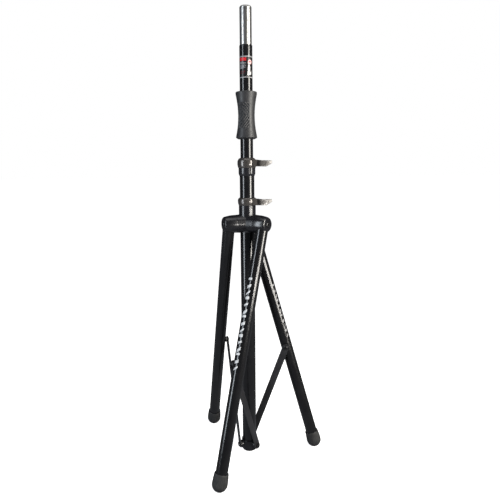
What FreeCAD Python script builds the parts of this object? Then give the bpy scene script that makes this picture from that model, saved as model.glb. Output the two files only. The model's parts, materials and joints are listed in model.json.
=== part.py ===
import FreeCAD, Part
import math
import os
import Sketcher

# Lift-assisted loudspeaker stand on a folding three-legged base, half folded.
# Millimetres, +Z up, origin on the mast's axis at the floor.

doc = FreeCAD.newDocument("speaker_stand")

SIZES = {
    # the three-legged fold: a leg swings about a bolt that points out of its hub arm
    "arm_azimuth": -39.3,
    "arm_count": 3,
    "leg_offset": 60.2,
    "leg_tilt": 15.9,
    "leg_length": 797.4,
    "strut_offset": 33.5,
    "strut_pivot_drop": 427.4,
    "strut_length": 346.2,
    # outer tube of the mast
    "outer_radius": 22.225,
    "outer_wall": 2.0,
    "outer_bottom": 14.0,
    "outer_top": 952.0,
    "foot_cap_flange": 3.0,
    "foot_cap_depth": 8.0,
    "foot_cap_bore": 7.0,
    # inner tube, its tip and its grip
    "inner_radius": 19.05,
    "inner_wall": 2.0,
    "inner_bottom": 100.0,
    "guide_length": 20.0,
    "guide_drop": 4.0,
    "shoulder_z": 1286.2,
    "spigot_radius": 17.465,
    "spigot_top": 1393.7,
    "spigot_round": 5.0,
    "spigot_plug": 60.0,
    "grip_bottom": 1021.5,
    "grip_top": 1156.8,
    "grip_end_radius": 31.7,
    "grip_waist_radius": 23.9,
    "grip_lip": 5.0,
    "grip_edge_round": 1.6,
    "grip_bottom_round": 6.0,
    "grip_bottom_taper": 2.0,
    "grip_bottom_rise": 8.0,
    "grip_step": 0.2,
    "grip_waist_step": 0.7,
    "grip_bead_low": 5.5,
    "grip_bead": 5.0,
    "grip_bead_slope": 1.0,
    # running fits and gaps
    "running_gap": 0.05,
    "free_gap": 0.4,
    "seating": 1.0,
    "cutter_margin": 5.0,
    # collet sleeves and the lever collars that squeeze them
    "sleeve_radius": 25.4,
    "sleeve_bottom": 912.3,
    "sleeve_taper": 7.0,
    "sleeve_top": 959.0,
    "sleeve_step": 0.9,
    "sleeve_slit": 3.0,
    "slit_start": 15.0,
    "slit_depth": 20.0,
    "slit_length": 60.0,
    "sleeve_slit_lift": 5.0,
    "slit_azimuth": -65.0,
    "bushing_length": 30.0,
    "bushing_flange": 2.0,
    "upper_collar_bottom": 936.0,
    "upper_collar_top": 966.0,
    "upper_collar_belly": 17.0,
    "lower_collar_bottom": 823.0,
    "lower_collar_top": 846.5,
    "lower_collar_belly": 16.0,
    "collar_radius": 28.6,
    "collar_bottom_lip": 0.6,
    "collar_top_lip": 1.5,
    "collar_side_bow": 34.0,
    "collar_shoulder_bow": 1.2,
    # wing of a collar, from the side: reach along X, heights about the collar's middle
    "wing_start": 15.0,
    "wing_neck": 45.0,
    "wing_elbow": 58.0,
    "wing_reach": 76.0,
    "wing_root_top": 11.0,
    "wing_top": 7.5,
    "wing_root_bottom": 10.5,
    "wing_bottom": 11.0,
    "wing_tip_top": 6.8,
    "wing_tip_bottom": 1.2,
    # and from above: distances of its front and back faces from the mast's axis
    "wing_root_front": 25.0,
    "wing_tip_front": 9.5,
    "wing_root_back": 13.0,
    "wing_tip_back": 5.5,
    "wing_front_bow": 150.0,
    "wing_back_bow": 220.0,
    "wing_corner_round": 2.6,
    "wing_round": 1.2,
    "wing_rim": 3.2,
    "wing_recess": 4.0,
    "hollow_start": 30.6,
    "hollow_low_end": 54.0,
    "hollow_high_end": 60.0,
    # hub
    "neck_radius": 25.9,
    "neck_collet_top": 841.0,
    "arm_root_radius": 30.0,
    "arm_radius": 27.2,
    "arm_reach": 40.0,
    "hub_bore": 23.8,
    "hub_bushing_length": 22.0,
    "hub_bushing_lift": 1.0,
    "pivot_hole_depth": 14.0,
    "neck_slit_drop": 8.0,
    # leg
    "knuckle_reach": 79.0,
    "knuckle_bow": 135.0,
    "knuckle_shoulder_radius": 22.8,
    "knuckle_shoulder_depth": 4.5,
    "knuckle_shoulder_round": 7.0,
    "knuckle_face_radius": 17.0,
    "leg_radius": 18.45,
    "leg_wall": 2.0,
    "plug_length": 80.0,
    "pivot_bolt_radius": 6.0,
    "pivot_head_radius": 9.5,
    "pivot_head_depth": 3.0,
    "pivot_head_dome": 2.5,
    "pivot_head_crown": 2.0,
    "pivot_head_gap": 0.5,
    "foot_rim": 735.0,
    "foot_rim_radius": 21.6,
    "foot_radius": 23.7,
    "foot_sole": 11.0,
    "insert_radius": 7.0,
    "insert_depth": 14.0,
    "insert_bore_depth": 12.0,
    "leg_top_gap": 12.0,
    # struts and the bracket under the mast
    "strut_width": 22.0,
    "strut_thickness": 2.6,
    "strut_bolt_radius": 4.0,
    "strut_head_radius": 7.0,
    "strut_head_height": 3.4,
    "spacer_radius": 8.5,
    "bracket_wall": 3.2,
    "bracket_bottom": 16.0,
    "bracket_top": 46.0,
    "bracket_boss_radius": 12.0,
    # lift spring inside the mast
    "spring_radius": 11.0,
    "spring_wall": 2.0,
    "spring_bottom": 98.0,
    "spring_top": 1090.0,
    "spring_gland": 15.0,
    "spring_head": 8.0,
    "pin_setback": 0.2,
    "spring_mount": 20.0,
    "spring_pin_radius": 2.5,
    "rod_radius": 4.0,
    "rod_top": 1010.0,
    "piston_length": 12.0,
    "anchor_bottom": 24.0,
    "anchor_length": 16.0,
}

# Heights of the pivots follow from the leg's length and tilt and from the linkage.
TILT = math.radians(SIZES["leg_tilt"])
STRUT_TILT = math.asin(SIZES["strut_pivot_drop"] * math.sin(TILT) / SIZES["strut_length"])
SIZES["hub_z"] = ((SIZES["leg_length"] - SIZES["foot_radius"]) * math.cos(TILT)
                  + SIZES["foot_radius"])
SIZES["bracket_z"] = (SIZES["hub_z"] - SIZES["strut_pivot_drop"] * math.cos(TILT)
                      - SIZES["strut_length"] * math.cos(STRUT_TILT))

sheet = doc.addObject("Spreadsheet::Sheet", "sizes")
for row, (alias, value) in enumerate(SIZES.items(), start=1):
    sheet.set(f"A{row}", alias)
    sheet.set(f"B{row}", str(value))
    sheet.setAlias(f"B{row}", alias)
doc.recompute()

X_AXIS = FreeCAD.Vector(1, 0, 0)
Y_AXIS = FreeCAD.Vector(0, 1, 0)
Z_AXIS = FreeCAD.Vector(0, 0, 1)
LEG_NAMES = ("front", "right", "left")
sub_parts = []


def sized(text):
    """An expression in which each size's name is written plainly."""
    words = text.replace("(", " ( ").replace(")", " ) ").split()
    return " ".join(f"sizes.{word}" if word in SIZES else word for word in words)


def value_of(text):
    return float(sheet.evalExpression(sized(text)))


def bind(item, **expressions):
    for name, text in expressions.items():
        item.setExpression(name, sized(text))
    return item


def put_at(item, place, turn=None):
    """Bind an object's base point to three expressions and set its rotation."""
    if turn is not None:
        item.Placement = FreeCAD.Placement(FreeCAD.Vector(), turn)
    for axis, text in zip("xyz", place):
        if text != "0":
            item.setExpression(f"Placement.Base.{axis}", sized(text))
    return item


def rod(name, radius, length, place=("0", "0", "0"), turn=None):
    item = doc.addObject("Part::Cylinder", name)
    bind(item, Radius=radius, Height=length)
    return put_at(item, place, turn)


def taper(name, low_radius, high_radius, height):
    """A cone's lower part, standing on the origin."""
    item = doc.addObject("Part::Cone", name)
    bind(item, Radius1=low_radius, Radius2=high_radius, Height=height)
    return item


def block(name, x_size, y_size, z_size, place=("0", "0", "0"), turn=None):
    item = doc.addObject("Part::Box", name)
    bind(item, Length=x_size, Width=y_size, Height=z_size)
    return put_at(item, place, turn)


def cut(name, base, tool):
    item = doc.addObject("Part::Cut", name)
    item.Base = base
    item.Tool = tool
    return item


def fuse(name, shapes):
    item = doc.addObject("Part::MultiFuse", name)
    item.Shapes = shapes
    return item


def group(name, shapes):
    """Several separate solids that make one node."""
    item = doc.addObject("Part::Compound", name)
    item.Links = shapes
    return item


def tube(name, outer, inner, bottom, top):
    """A round tube about the mast's axis."""
    shell = rod(f"{name}_outside", outer, f"{top} - ( {bottom} )", ("0", "0", bottom))
    bore = rod(f"{name}_bore", inner, f"{top} - ( {bottom} )", ("0", "0", bottom))
    return cut(name, shell, bore)


def keep(label, item, placement=None):
    """Name a finished sub-part, which also names its file."""
    item.Label = label
    if placement is not None:
        item.Placement = placement
    sub_parts.append(item)
    return item


def body_plane(body, role):
    return next(plane for plane in body.Origin.OriginFeatures if plane.Role == role)


def new_sketch(body, name, role, lift=None):
    """A sketch on one of the body's own planes, moved off it by an expression."""
    sketch = body.newObject("Sketcher::SketchObject", name)
    sketch.AttachmentSupport = [(body_plane(body, role), "")]
    sketch.MapMode = "FlatFace"
    if lift is not None:
        sketch.setExpression("AttachmentOffset.Base.z", sized(lift))
    return sketch


def draw_outline(sketch, corners, arcs=None):
    """A closed outline through corners given as pairs of expressions.

    arcs gives the radius of the edge that leaves a corner; a negative one bends
    the other way.
    """
    arcs = arcs or {}
    points = [FreeCAD.Vector(value_of(x), value_of(y), 0) for x, y in corners]
    total = len(points)
    starts = []
    for index, start in enumerate(points):
        end = points[(index + 1) % total]
        if index not in arcs:
            edge = sketch.addGeometry(Part.LineSegment(start, end), False)
            starts.append((edge, 1, 2))
            continue
        radius = value_of(arcs[index])
        chord = end - start
        side = FreeCAD.Vector(-chord.y, chord.x, 0).normalize()
        depth = abs(radius) - math.sqrt(max(radius**2 - (chord.Length / 2) ** 2, 0.0))
        middle = (start + end) / 2 + side * math.copysign(depth, radius)
        turns_left = (middle - start).cross(end - middle).z > 0
        first, last = (start, end) if turns_left else (end, start)
        edge = sketch.addGeometry(Part.Arc(first, middle, last), False)
        starts.append((edge, 1, 2) if turns_left else (edge, 2, 1))
        constraint = sketch.addConstraint(Sketcher.Constraint("Radius", edge, abs(radius)))
        sketch.setExpression(f"Constraints[{constraint}]", f"abs({sized(arcs[index])})")
    for index, (edge, _, last) in enumerate(starts):
        following, first, _ = starts[(index + 1) % total]
        sketch.addConstraint(Sketcher.Constraint("Coincident", edge, last, following, first))
    for index, (edge, first, _) in enumerate(starts):
        for kind, text, on_axis in (("DistanceX", corners[index][0], -2),
                                    ("DistanceY", corners[index][1], -1)):
            value = value_of(text)
            if abs(value) < 1e-9:
                sketch.addConstraint(Sketcher.Constraint("PointOnObject", edge, first, on_axis))
                continue
            constraint = sketch.addConstraint(
                Sketcher.Constraint(kind, -1, 1, edge, first, value))
            sketch.setExpression(f"Constraints[{constraint}]", sized(text))


def turn_outline(body, name, corners, arcs=None, remove=False):
    """Turn an outline of radius and height about the body's own Z axis."""
    sketch = new_sketch(body, f"{name}_outline", "XZ_Plane")
    draw_outline(sketch, corners, arcs)
    kind = "PartDesign::Groove" if remove else "PartDesign::Revolution"
    feature = body.newObject(kind, name)
    feature.Profile = sketch
    feature.ReferenceAxis = (sketch, ["V_Axis"])
    feature.Angle = 360
    doc.recompute()
    return feature


def turned_body(name, corners, arcs=None):
    body = doc.addObject("PartDesign::Body", name)
    turn_outline(body, f"{name}_turned", corners, arcs)
    return body


def free_sketch(name, turn, corners, arcs=None):
    """An outline on a plane through the origin."""
    sketch = doc.addObject("Sketcher::SketchObject", name)
    sketch.Placement = FreeCAD.Placement(FreeCAD.Vector(), turn)
    draw_outline(sketch, corners, arcs)
    return sketch


def thickened(name, sketch, half_depth):
    """A plate that stands this far to both sides of its outline's plane."""
    item = doc.addObject("Part::Extrusion", name)
    item.Base = sketch
    item.DirMode = "Normal"
    item.Solid = True
    bind(item, LengthFwd=half_depth, LengthRev=half_depth)
    return item


def filleted(name, base, radius, wanted):
    """Round the edges whose bounding box passes the test."""
    item = doc.addObject("Part::Fillet", name)
    item.Base = base
    size = value_of(radius)
    item.Edges = [(number, size, size)
                  for number, edge in enumerate(base.Shape.Edges, start=1)
                  if wanted(edge.BoundBox)]
    doc.recompute()
    return item


def round_edges(body, name, radius, wanted):
    """Fillet the edges of the body's last feature that the test picks out."""
    base = body.Tip
    picked = [f"Edge{number}" for number, edge in enumerate(base.Shape.Edges, start=1)
              if wanted(edge)]
    feature = body.newObject("PartDesign::Fillet", name)
    feature.Base = (base, picked)
    bind(feature, Radius=radius)
    doc.recompute()
    return feature


def is_ring(edge, radius, height):
    """Whether an edge is a circle of this radius at this height."""
    curve = edge.Curve
    if not isinstance(curve, Part.Circle):
        return False
    return abs(curve.Radius - radius) < 1e-3 and abs(curve.Center.z - height) < 1e-3


def azimuth_of(arm):
    step = 360 / value_of("arm_count")
    return value_of("arm_azimuth") + arm * step


def outward(radius, angle, height=0.0):
    """A point at a radius and an angle in degrees about the mast."""
    turn = math.radians(angle)
    return FreeCAD.Vector(radius * math.cos(turn), radius * math.sin(turn), height)


LYING_OUT = FreeCAD.Rotation(Y_AXIS, 90)
FLOOR_PLANE = FreeCAD.Rotation()
WALL_PLANE = FreeCAD.Rotation(X_AXIS, 90)


def hub_frame(arm):
    """At the leg's pivot: X points out along the arm, the leg runs down -Z."""
    azimuth = azimuth_of(arm)
    turn = FreeCAD.Rotation(Z_AXIS, azimuth) * FreeCAD.Rotation(X_AXIS, -math.degrees(TILT))
    return FreeCAD.Placement(outward(value_of("leg_offset"), azimuth, value_of("hub_z")), turn)


def strut_frame(arm):
    """At the bracket's pivot: X points out of the bracket, the strut runs up +Z."""
    azimuth = azimuth_of(arm)
    turn = (FreeCAD.Rotation(Z_AXIS, azimuth)
            * FreeCAD.Rotation(X_AXIS, math.degrees(STRUT_TILT)))
    return FreeCAD.Placement(outward(value_of("strut_offset"), azimuth, value_of("bracket_z")), turn)


def arm_frame(arm, height):
    """On the mast's axis, with Z pointing out along an arm."""
    turn = FreeCAD.Rotation(Z_AXIS, azimuth_of(arm)) * LYING_OUT
    return FreeCAD.Placement(FreeCAD.Vector(0, 0, value_of(height)), turn)


def along_arm(item, arm, height, start):
    """Lay a cylinder along an arm, starting at a distance from the mast's axis."""
    frame = arm_frame(arm, height)
    start_point = frame.multVec(FreeCAD.Vector(0, 0, value_of(start)))
    item.Placement = FreeCAD.Placement(start_point, frame.Rotation)
    return item


def slit_cutter(name, bottom):
    """The block that splits a collet on its slit's side."""
    item = block(name, "slit_depth", "sleeve_slit", "slit_length")
    turn = FreeCAD.Rotation(Z_AXIS, value_of("slit_azimuth"))
    corner = FreeCAD.Vector(value_of("slit_start"), -value_of("sleeve_slit") / 2, 0)
    item.Placement = FreeCAD.Placement(
        turn.multVec(corner) + Z_AXIS * value_of(bottom), turn)
    return item


# ---------------------------------------------------------------- mast
def make_mast():
    keep("outer_tube", tube("outer_tube_cut", "outer_radius", "outer_radius - outer_wall",
                            "outer_bottom", "outer_top"))
    cap = turned_body("mast_end_cap_body", [
        ("foot_cap_bore", "outer_bottom - foot_cap_flange"),
        ("outer_radius", "outer_bottom - foot_cap_flange"),
        ("outer_radius", "outer_bottom"),
        ("outer_radius - outer_wall", "outer_bottom"),
        ("outer_radius - outer_wall", "outer_bottom + foot_cap_depth"),
        ("foot_cap_bore", "outer_bottom + foot_cap_depth"),
    ])
    keep("mast_end_cap", cap)
    sleeve = turned_body("upper_sleeve_body", [
        ("outer_radius", "sleeve_bottom"),
        ("outer_radius + sleeve_step", "sleeve_bottom"),
        ("sleeve_radius", "sleeve_bottom + sleeve_taper"),
        ("sleeve_radius", "sleeve_top"),
        ("inner_radius + free_gap", "sleeve_top"),
        ("inner_radius + free_gap", "outer_top + bushing_flange"),
        ("outer_radius", "outer_top + bushing_flange"),
    ])
    slit = slit_cutter("upper_slit", "sleeve_bottom + sleeve_slit_lift")
    keep("upper_sleeve", cut("upper_sleeve_split", sleeve, slit))
    bushing = turned_body("upper_bushing_body", [
        ("inner_radius + running_gap", "outer_top - bushing_length"),
        ("outer_radius - outer_wall", "outer_top - bushing_length"),
        ("outer_radius - outer_wall", "outer_top"),
        ("outer_radius", "outer_top"),
        ("outer_radius", "outer_top + bushing_flange"),
        ("inner_radius + running_gap", "outer_top + bushing_flange"),
    ])
    keep("upper_bushing", bushing)


def make_bracket():
    ring = rod("bracket_ring", "outer_radius + bracket_wall", "bracket_top - bracket_bottom",
               ("0", "0", "bracket_bottom"))
    face = "strut_offset - strut_thickness / 2 - free_gap"
    bosses = [ring]
    holes = [rod("bracket_bore", "outer_radius", "2 * bracket_top", ("0", "0", "0"))]
    bolts = []
    for arm in range(3):
        boss = rod(f"bracket_boss_{arm}", "bracket_boss_radius", face)
        bosses.append(along_arm(boss, arm, "bracket_z", "0"))
        hole = rod(f"bracket_hole_{arm}", "strut_bolt_radius", "strut_offset - outer_radius")
        holes.append(along_arm(hole, arm, "bracket_z", "outer_radius"))
        shank_end = "strut_offset + strut_thickness / 2 + free_gap"
        shank = rod(f"bracket_shank_{arm}", "strut_bolt_radius",
                    f"{shank_end} + free_gap - outer_radius - seating")
        along_arm(shank, arm, "bracket_z", "outer_radius + seating")
        head = rod(f"bracket_head_{arm}", "strut_head_radius", "strut_head_height")
        along_arm(head, arm, "bracket_z", shank_end)
        bolts.append(fuse(f"bracket_bolt_{arm}", [shank, head]))
    body = fuse("bracket_blank", bosses)
    tools = fuse("bracket_holes", holes)
    keep("base_bracket", cut("base_bracket_cut", body, tools))
    keep("bracket_bolts", group("bracket_bolts_set", bolts))


def make_lift_spring():
    keep("spring_anchor", turned_body("spring_anchor_body", [
        ("rod_radius", "anchor_bottom"),
        ("outer_radius - outer_wall", "anchor_bottom"),
        ("outer_radius - outer_wall", "anchor_bottom + anchor_length"),
        ("rod_radius", "anchor_bottom + anchor_length"),
    ]))
    keep("spring_rod", turned_body("spring_rod_body", [
        ("0", "anchor_bottom"),
        ("rod_radius", "anchor_bottom"),
        ("rod_radius", "rod_top"),
        ("0", "rod_top"),
    ]))
    keep("spring_piston", turned_body("spring_piston_body", [
        ("rod_radius", "rod_top - piston_length"),
        ("spring_radius - spring_wall - running_gap", "rod_top - piston_length"),
        ("spring_radius - spring_wall - running_gap", "rod_top"),
        ("rod_radius", "rod_top"),
    ]))
    keep("spring_cylinder", turned_body("spring_cylinder_body", [
        ("spring_radius - spring_wall", "spring_bottom"),
        ("spring_radius", "spring_bottom"),
        ("spring_radius", "spring_top"),
        ("0", "spring_top"),
        ("0", "spring_top - spring_head"),
        ("spring_radius - spring_wall", "spring_top - spring_head"),
    ]))
    keep("spring_gland", turned_body("spring_gland_body", [
        ("rod_radius + running_gap", "spring_bottom"),
        ("spring_radius - spring_wall", "spring_bottom"),
        ("spring_radius - spring_wall", "spring_bottom + spring_gland"),
        ("rod_radius + running_gap", "spring_bottom + spring_gland"),
    ]))
    keep("spring_centring_ring", turned_body("spring_centring_ring_body", [
        ("spring_radius", "spring_bottom"),
        ("inner_radius - inner_wall", "spring_bottom"),
        ("inner_radius - inner_wall", "spring_bottom + spring_gland"),
        ("spring_radius", "spring_bottom + spring_gland"),
    ]))
    mount = rod("spring_mount_disc", "inner_radius - inner_wall", "spring_mount",
                ("0", "0", "spring_top"))
    pin_start = ("0 - inner_radius", "0", "spring_top + spring_mount / 2")
    hole = rod("spring_mount_hole", "spring_pin_radius", "2 * inner_radius",
               pin_start, LYING_OUT)
    keep("spring_mount", cut("spring_mount_cut", mount, hole))
    pin_start = ("pin_setback - inner_radius", "0", "spring_top + spring_mount / 2")
    keep("spring_pin", rod("spring_pin_rod", "spring_pin_radius",
                           "2 * ( inner_radius - pin_setback )", pin_start, LYING_OUT))


# ---------------------------------------------------------------- inner tube
def make_inner_tube():
    wall = tube("inner_tube_blank", "inner_radius", "inner_radius - inner_wall",
                "inner_bottom", "shoulder_z")
    hole = rod("inner_tube_hole", "spring_pin_radius", "2 * ( inner_radius + cutter_margin )",
               ("0 - inner_radius - cutter_margin", "0", "spring_top + spring_mount / 2"), LYING_OUT)
    keep("inner_tube", cut("inner_tube_cut", wall, hole))
    spigot = turned_body("spigot_body", [
        ("0", "shoulder_z - spigot_plug"),
        ("inner_radius - inner_wall", "shoulder_z - spigot_plug"),
        ("inner_radius - inner_wall", "shoulder_z"),
        ("spigot_radius", "shoulder_z"),
        ("spigot_radius", "spigot_top"),
        ("0", "spigot_top"),
    ])
    round_edges(spigot, "spigot_top_round", "spigot_round",
                lambda edge: is_ring(edge, value_of("spigot_radius"), value_of("spigot_top")))
    keep("spigot_tip", spigot)
    waist = "( grip_end_radius - grip_waist_step - grip_waist_radius )"
    half_span = "( ( grip_top - grip_bottom ) / 2 - grip_lip - grip_bead )"
    bend = f"( {half_span} * {half_span} / {waist} + {waist} ) / 2"
    grip = turned_body("grip_body", [
        ("inner_radius", "grip_bottom"),
        ("grip_end_radius - grip_bottom_taper", "grip_bottom"),
        ("grip_end_radius - grip_step", "grip_bottom + grip_bottom_rise"),
        ("grip_end_radius - grip_step", "grip_bottom + grip_lip + grip_bead_low"),
        ("grip_end_radius - grip_step", "grip_top - grip_lip - grip_bead_slope"),
        ("grip_end_radius", "grip_top - grip_lip + grip_bead_slope"),
        ("grip_end_radius", "grip_top"),
        ("inner_radius", "grip_top"),
    ], {3: bend})
    round_edges(grip, "grip_top_round", "grip_edge_round",
                lambda edge: is_ring(edge, value_of("grip_end_radius"), value_of("grip_top")))
    round_edges(grip, "grip_bottom_round_edge", "grip_bottom_round",
                lambda edge: is_ring(edge, value_of("grip_end_radius - grip_bottom_taper"),
                                     value_of("grip_bottom")))
    keep("height_grip", grip)
    keep("guide_bushing", turned_body("guide_bushing_body", [
        ("inner_radius - inner_wall", "inner_bottom - guide_drop"),
        ("outer_radius - outer_wall - running_gap", "inner_bottom - guide_drop"),
        ("outer_radius - outer_wall - running_gap", "inner_bottom + guide_length"),
        ("inner_radius", "inner_bottom + guide_length"),
        ("inner_radius", "inner_bottom"),
        ("inner_radius - inner_wall", "inner_bottom"),
    ]))


# ---------------------------------------------------------------- lever collars
def make_wing(name, middle):
    """A collar's wing: its side outline and its outline from above, both as thick
    plates, leave the wing where they overlap; a hollow is then sunk in its front."""
    side = free_sketch(f"{name}_side_outline", WALL_PLANE, [
        ("wing_start", f"{middle} - wing_root_bottom"),
        ("wing_elbow", f"{middle} - wing_bottom"),
        ("wing_reach", f"{middle} - wing_tip_bottom"),
        ("wing_reach", f"{middle} + wing_tip_top"),
        ("wing_neck", f"{middle} + wing_top"),
        ("wing_start", f"{middle} + wing_root_top"),
    ])
    top = free_sketch(f"{name}_top_outline", FLOOR_PLANE, [
        ("wing_start", "0 - wing_root_front"),
        ("wing_reach", "0 - wing_tip_front"),
        ("wing_reach", "0 - wing_tip_back"),
        ("wing_start", "0 - wing_root_back"),
    ], {0: "0 - wing_front_bow", 2: "wing_back_bow"})
    blank = doc.addObject("Part::Common", f"{name}_blank")
    blank.Base = thickened(f"{name}_side", side, "wing_root_front + cutter_margin")
    blank.Tool = thickened(f"{name}_top", top, f"{middle} + wing_root_top + cutter_margin")
    doc.recompute()
    root = value_of("wing_start") + 1e-3
    blunt = filleted(f"{name}_blunt", blank, "wing_corner_round",
                     lambda box: box.XMin > root and box.XLength < 1 and box.ZLength < 1e-3)
    softened = filleted(f"{name}_softened", blunt, "wing_round",
                        lambda box: box.XLength > 1.5 or box.XMin > root and box.ZLength > 1)
    low = f"{middle} - wing_bottom + wing_rim"
    high = f"{middle} + wing_top - wing_rim"
    hollow = free_sketch(f"{name}_hollow_outline", WALL_PLANE, [
        ("hollow_start", low),
        ("hollow_low_end", low),
        ("hollow_high_end", high),
        ("hollow_start", high),
    ])
    sink = thickened(f"{name}_hollow", hollow, "wing_root_front + cutter_margin")
    floor = free_sketch(f"{name}_floor_outline", FLOOR_PLANE, [
        ("wing_start", "0 - wing_root_front - cutter_margin"),
        ("wing_reach", "0 - wing_root_front - cutter_margin"),
        ("wing_reach", "0 - wing_tip_front"),
        ("wing_start", "0 - wing_root_front + wing_recess"),
    ], {2: "wing_front_bow"})
    inside = doc.addObject("Part::Common", f"{name}_inside")
    inside.Base = sink
    inside.Tool = thickened(f"{name}_floor", floor, f"{middle} + wing_root_top + cutter_margin")
    return cut(name, softened, inside)


def make_collar(name, bottom, top, belly, sleeve_radius, sleeve_top, bore_radius):
    """A rounded ring with a hollow-faced wing that turns about the mast."""
    inner = f"{bore_radius} + free_gap"
    middle = f"( {bottom} + {top} ) / 2"
    ring = turned_body(f"{name}_ring", [
        ("0", bottom),
        (f"{sleeve_radius} + collar_bottom_lip", bottom),
        ("collar_radius", f"{bottom} + {belly}"),
        (f"{inner} + collar_top_lip", top),
        ("0", top),
    ], {1: "0 - collar_side_bow", 2: f"0 - ( {top} - {bottom} - {belly} ) - collar_shoulder_bow"})
    bore = turned_body(f"{name}_bore", [
        ("0", f"{bottom} - cutter_margin"),
        (f"{sleeve_radius} + running_gap", f"{bottom} - cutter_margin"),
        (f"{sleeve_radius} + running_gap", f"{sleeve_top} + free_gap"),
        (inner, f"{sleeve_top} + free_gap"),
        (inner, f"{top} + cutter_margin"),
        ("0", f"{top} + cutter_margin"),
    ])
    wing = make_wing(f"{name}_wing", middle)
    keep(name, cut(f"{name}_cut", fuse(f"{name}_casting", [ring, wing]), bore))


# ---------------------------------------------------------------- hub
def make_hub():
    neck = rod("hub_neck", "neck_radius", "lower_collar_bottom - hub_z", ("0", "0", "hub_z"))
    collet = rod("hub_collet", "sleeve_radius", "neck_collet_top - hub_z",
                 ("0", "0", "hub_z"))
    pieces = [neck, collet]
    holes = [rod("hub_bore_tool", "hub_bore", "2 * hub_z")]
    bolts = []
    for arm in range(3):
        barrel = taper(f"hub_arm_{arm}", "arm_root_radius", "arm_radius", "arm_reach")
        pieces.append(along_arm(barrel, arm, "hub_z", "0"))
        hole = rod(f"hub_pivot_hole_{arm}", "pivot_bolt_radius", "2 * pivot_hole_depth")
        holes.append(along_arm(hole, arm, "hub_z", "arm_reach - pivot_hole_depth"))
        head_face = "knuckle_reach - pivot_head_depth + free_gap"
        shank = rod(f"pivot_shank_{arm}", "pivot_bolt_radius",
                    f"{head_face} - arm_reach + pivot_hole_depth + seating")
        along_arm(shank, arm, "hub_z", "arm_reach - pivot_hole_depth")
        head = rod(f"pivot_head_{arm}", "pivot_head_radius - pivot_head_gap",
                   "pivot_head_depth - free_gap + pivot_head_dome")
        along_arm(head, arm, "hub_z", head_face)
        bolt = fuse(f"pivot_bolt_{arm}", [shank, head])
        doc.recompute()
        crown = doc.addObject("Part::Chamfer", f"pivot_bolt_crown_{arm}")
        crown.Base = bolt
        outer = arm_frame(arm, "hub_z").multVec(
            Z_AXIS * value_of("knuckle_reach + pivot_head_dome"))
        rim = [number for number, edge in enumerate(bolt.Shape.Edges, start=1)
               if isinstance(edge.Curve, Part.Circle)
               and edge.Curve.Center.distanceToPoint(outer) < 1e-3]
        depth = value_of("pivot_head_crown")
        crown.Edges = [(number, depth, depth) for number in rim]
        bolts.append(crown)
    holes.append(slit_cutter("hub_slit", "lower_collar_bottom - neck_slit_drop"))
    body = fuse("hub_blank", pieces)
    tools = fuse("hub_tools", holes)
    keep("hub", cut("hub_cut", body, tools))
    keep("leg_pivot_bolts", group("leg_pivot_bolts_set", bolts))
    low = "hub_z - arm_radius + hub_bushing_lift"
    for name, bottom in (("hub_lower_bushing", low),
                         ("hub_upper_bushing", "neck_collet_top - hub_bushing_length")):
        keep(name, tube(f"{name}_cut", "hub_bore", "outer_radius + running_gap", bottom,
                        f"( {bottom} + hub_bushing_length )"))


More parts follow.
